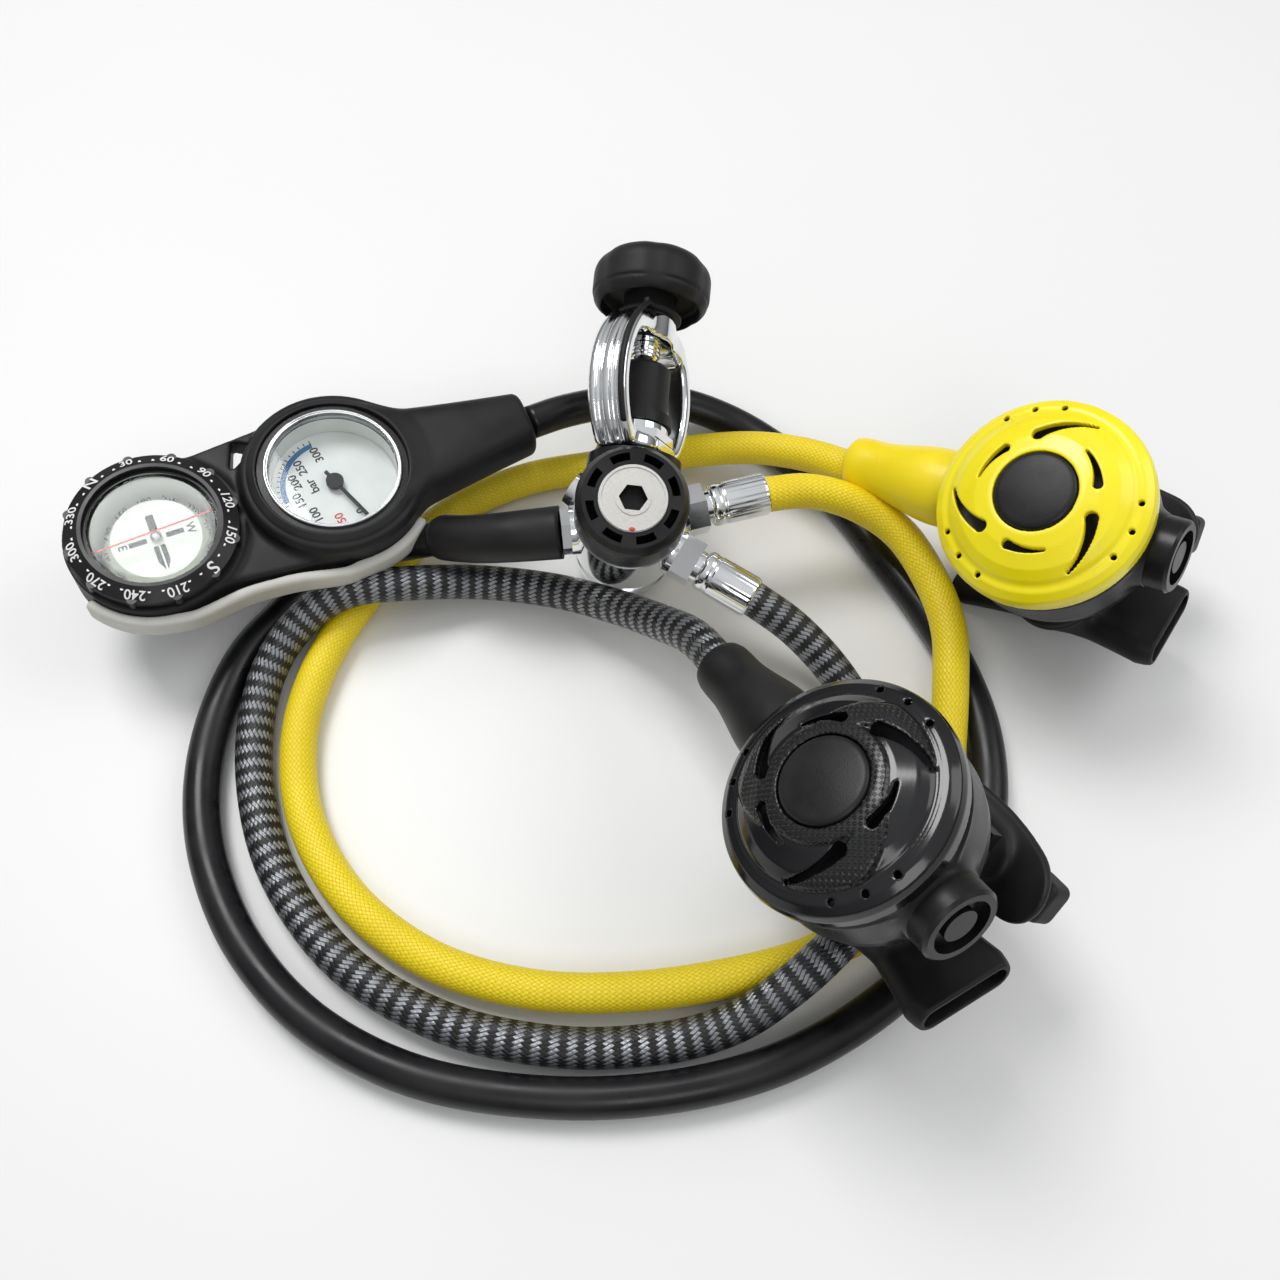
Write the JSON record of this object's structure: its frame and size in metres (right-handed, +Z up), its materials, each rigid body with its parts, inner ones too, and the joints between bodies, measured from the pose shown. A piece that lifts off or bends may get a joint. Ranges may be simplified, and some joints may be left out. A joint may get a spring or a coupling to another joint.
{
  "type": "scuba regulator set",
  "caption": "Scuba regulator set: yoke first stage with hand knob, two second stages with purge buttons, and a gauge and compass console, joined by looped hoses.",
  "frame": {"origin": "on the resting surface under the middle of the set, hoses left out", "axes": "+Z up from the resting surface, +X from the console to the alternate second stage, +Y from the hose loop out to the yoke knob"},
  "size_m": [0.3826, 0.2786, 0.1061],
  "materials": {
    "adjuster": "sand-blasted, chromed",
    "brass": "machined brass",
    "button_black": "satin black button",
    "cap_black": "black plastic cap, satin",
    "card_cream": "luminous compass card",
    "case_black": "black moulded case",
    "chrome": "polished chrome plate on brass",
    "clear": "clear lens",
    "cover_black": "glossy black cover",
    "cover_yellow": "bright yellow cover",
    "dial_white": "printed white dial",
    "hose_carbon": "twill braid of black and silver-grey",
    "hose_rubber": "smooth black hose cover",
    "hose_yellow": "fine woven yellow braid",
    "rubber_black": "matt black rubber",
    "rubber_yellow": "yellow rubber",
    "silicone": "silicone",
    "spring_steel": "drawn spring wire",
    "steel": "stamped stainless steel",
    "strip_grey": "light grey rubber"
  },
  "bodies": {
    "first_stage": {"first_stage_body": "chrome", "diaphragm_cap": "cap_black", "spring_adjuster": "adjuster", "main_spring": "spring_steel", "main_diaphragm": "rubber_black", "base_plug": "chrome", "neck_ring": "cap_black", "yoke_retainer": "chrome", "inlet_filter": "brass", "yoke": "chrome", "dust_cap_strap": "rubber_black", "port_plug": "chrome", "primary_hose": "hose_carbon", "octopus_hose": "hose_yellow", "gauge_hose": "hose_rubber", "primary_fitting": "chrome", "primary_ferrule": "chrome", "octopus_fitting": "chrome", "octopus_ferrule": "chrome", "gauge_fitting": "chrome", "gauge_protector": "rubber_black", "primary_sleeve": "rubber_black", "octopus_sleeve": "rubber_yellow"},
    "first_stage_valve": {"valve_pin": "brass", "inlet_poppet": "brass"},
    "screw": {"yoke_screw": "chrome"},
    "knob": {"yoke_knob": "rubber_black"},
    "dust_cap": {"dust_cap": "rubber_black"},
    "console": {"console_boot": "rubber_black", "console_strip": "strip_grey", "gauge_case": "case_black", "gauge_dial": "dial_white", "gauge_lens": "clear", "compass_housing": "case_black", "compass_lens": "clear"},
    "needle": {"gauge_needle": "button_black"},
    "bezel": {"compass_bezel": "case_black"},
    "card": {"compass_card": "card_cream"},
    "primary_second_stage": {"primary_case": "case_black", "primary_cover": "cover_black", "primary_valve_barrel": "brass", "primary_side_cap": "case_black", "primary_exhaust_tee": "rubber_black", "primary_mouthpiece": "rubber_black", "primary_mouthpiece_tie": "button_black"},
    "primary_purge": {"primary_purge_button": "button_black"},
    "primary_diaphragm": {"primary_diaphragm": "silicone"},
    "primary_lever": {"primary_demand_lever": "steel"},
    "primary_valve": {"primary_poppet": "case_black"},
    "octopus_second_stage": {"octopus_case": "case_black", "octopus_cover": "cover_yellow", "octopus_valve_barrel": "brass", "octopus_side_cap": "case_black", "octopus_exhaust_tee": "rubber_black", "octopus_mouthpiece": "rubber_black", "octopus_mouthpiece_tie": "button_black"},
    "octopus_purge": {"octopus_purge_button": "button_black"},
    "octopus_diaphragm": {"octopus_diaphragm": "silicone"},
    "octopus_lever": {"octopus_demand_lever": "steel"},
    "octopus_valve": {"octopus_poppet": "case_black"}
  },
  "joints": [
    {"name": "first_stage_valve_travel", "type": "slide", "parent": "first_stage", "child": "first_stage_valve", "axis": [-0.0595, 0.3305, -0.9419], "range_m": [0, 0.0008], "stiffness_N_per_m": 900, "springref_m": -0.0003},
    {"name": "screw_travel", "type": "slide", "parent": "first_stage", "child": "screw", "axis": [0.0943, 0.9412, 0.3243], "range_m": [0, 0.009]},
    {"name": "knob_turn", "type": "hinge", "parent": "screw", "child": "knob", "pos_m": [0.00136, 0.10883, 0.06155], "axis": [0.0943, 0.9412, 0.3243], "range_deg": [0, 2160]},
    {"name": "dust_cap_pull", "type": "slide", "parent": "first_stage", "child": "dust_cap", "axis": [0.8904, -0.2254, 0.3955], "range_m": [0, 0.03]},
    {"name": "primary_swivel", "type": "hinge", "parent": "first_stage", "child": "primary_second_stage", "pos_m": [0.04164, -0.05534, 0.06138], "axis": [0.4728, -0.8188, 0.3256], "range_deg": [0, 20]},
    {"name": "primary_purge_press", "type": "slide", "parent": "primary_second_stage", "child": "primary_purge", "axis": [0.501, -0.0542, -0.8638], "range_m": [0, 0.003], "stiffness_N_per_m": 400, "springref_m": -0.0005},
    {"name": "primary_diaphragm_travel", "type": "slide", "parent": "primary_second_stage", "child": "primary_diaphragm", "axis": [0.501, -0.0542, -0.8638], "range_m": [0, 0.003]},
    {"name": "primary_lever_tilt", "type": "hinge", "parent": "primary_second_stage", "child": "primary_lever", "pos_m": [0.05805, -0.08782, 0.07872], "axis": [-0.7249, -0.5715, -0.3846], "range_deg": [0, 12]},
    {"name": "primary_poppet_travel", "type": "slide", "parent": "primary_second_stage", "child": "primary_valve", "axis": [0.4728, -0.8188, 0.3256], "range_m": [0, 0.0005]},
    {"name": "octopus_swivel", "type": "hinge", "parent": "first_stage", "child": "octopus_second_stage", "pos_m": [0.10385, 0.04401, 0.04654], "axis": [0.7694, -0.559, 0.309], "range_deg": [0, 25]},
    {"name": "octopus_purge_press", "type": "slide", "parent": "octopus_second_stage", "child": "octopus_purge", "axis": [0.4896, 0.2054, -0.8474], "range_m": [0, 0.003], "stiffness_N_per_m": 400, "springref_m": -0.0005},
    {"name": "octopus_diaphragm_travel", "type": "slide", "parent": "octopus_second_stage", "child": "octopus_diaphragm", "axis": [0.4896, 0.2054, -0.8474], "range_m": [0, 0.003]},
    {"name": "octopus_lever_tilt", "type": "hinge", "parent": "octopus_second_stage", "child": "octopus_lever", "pos_m": [0.13218, 0.02062, 0.06314], "axis": [-0.4102, -0.8033, -0.4318], "range_deg": [0, 12]},
    {"name": "octopus_poppet_travel", "type": "slide", "parent": "octopus_second_stage", "child": "octopus_valve", "axis": [0.7694, -0.559, 0.309], "range_m": [0, 0.0005]},
    {"name": "console_swivel", "type": "hinge", "parent": "first_stage", "child": "console", "pos_m": [-0.04307, 0.08697, 0.02966], "axis": [0.8954, 0.4367, -0.0872], "range_deg": [-12, 0]},
    {"name": "gauge_needle_turn", "type": "hinge", "parent": "console", "child": "needle", "pos_m": [-0.1065, 0.05586, 0.03683], "axis": [-0.1459, 0.1029, -0.9839], "range_deg": [0, 192], "stiffness_Nm_per_rad": 0.002, "springref_deg": -5.73},
    {"name": "compass_bezel_turn", "type": "hinge", "parent": "console", "child": "bezel", "pos_m": [-0.16024, 0.02861, 0.04805], "axis": [0.1459, -0.1029, 0.9839], "continuous": true},
    {"name": "compass_card_turn", "type": "hinge", "parent": "console", "child": "card", "pos_m": [-0.1614, 0.02943, 0.04018], "axis": [0.1459, -0.1029, 0.9839], "continuous": true}
  ],
  "couplings": [
    {"joint": "knob_turn", "follows": "screw_travel", "rad_per_m": 4188.7},
    {"joint": "primary_diaphragm_travel", "follows": "primary_purge_press", "ratio": 1},
    {"joint": "primary_lever_tilt", "follows": "primary_purge_press", "rad_per_m": 69.743},
    {"joint": "primary_poppet_travel", "follows": "primary_purge_press", "ratio": 0.1665},
    {"joint": "octopus_diaphragm_travel", "follows": "octopus_purge_press", "ratio": 1},
    {"joint": "octopus_lever_tilt", "follows": "octopus_purge_press", "rad_per_m": 69.743},
    {"joint": "octopus_poppet_travel", "follows": "octopus_purge_press", "ratio": 0.1665}
  ]
}
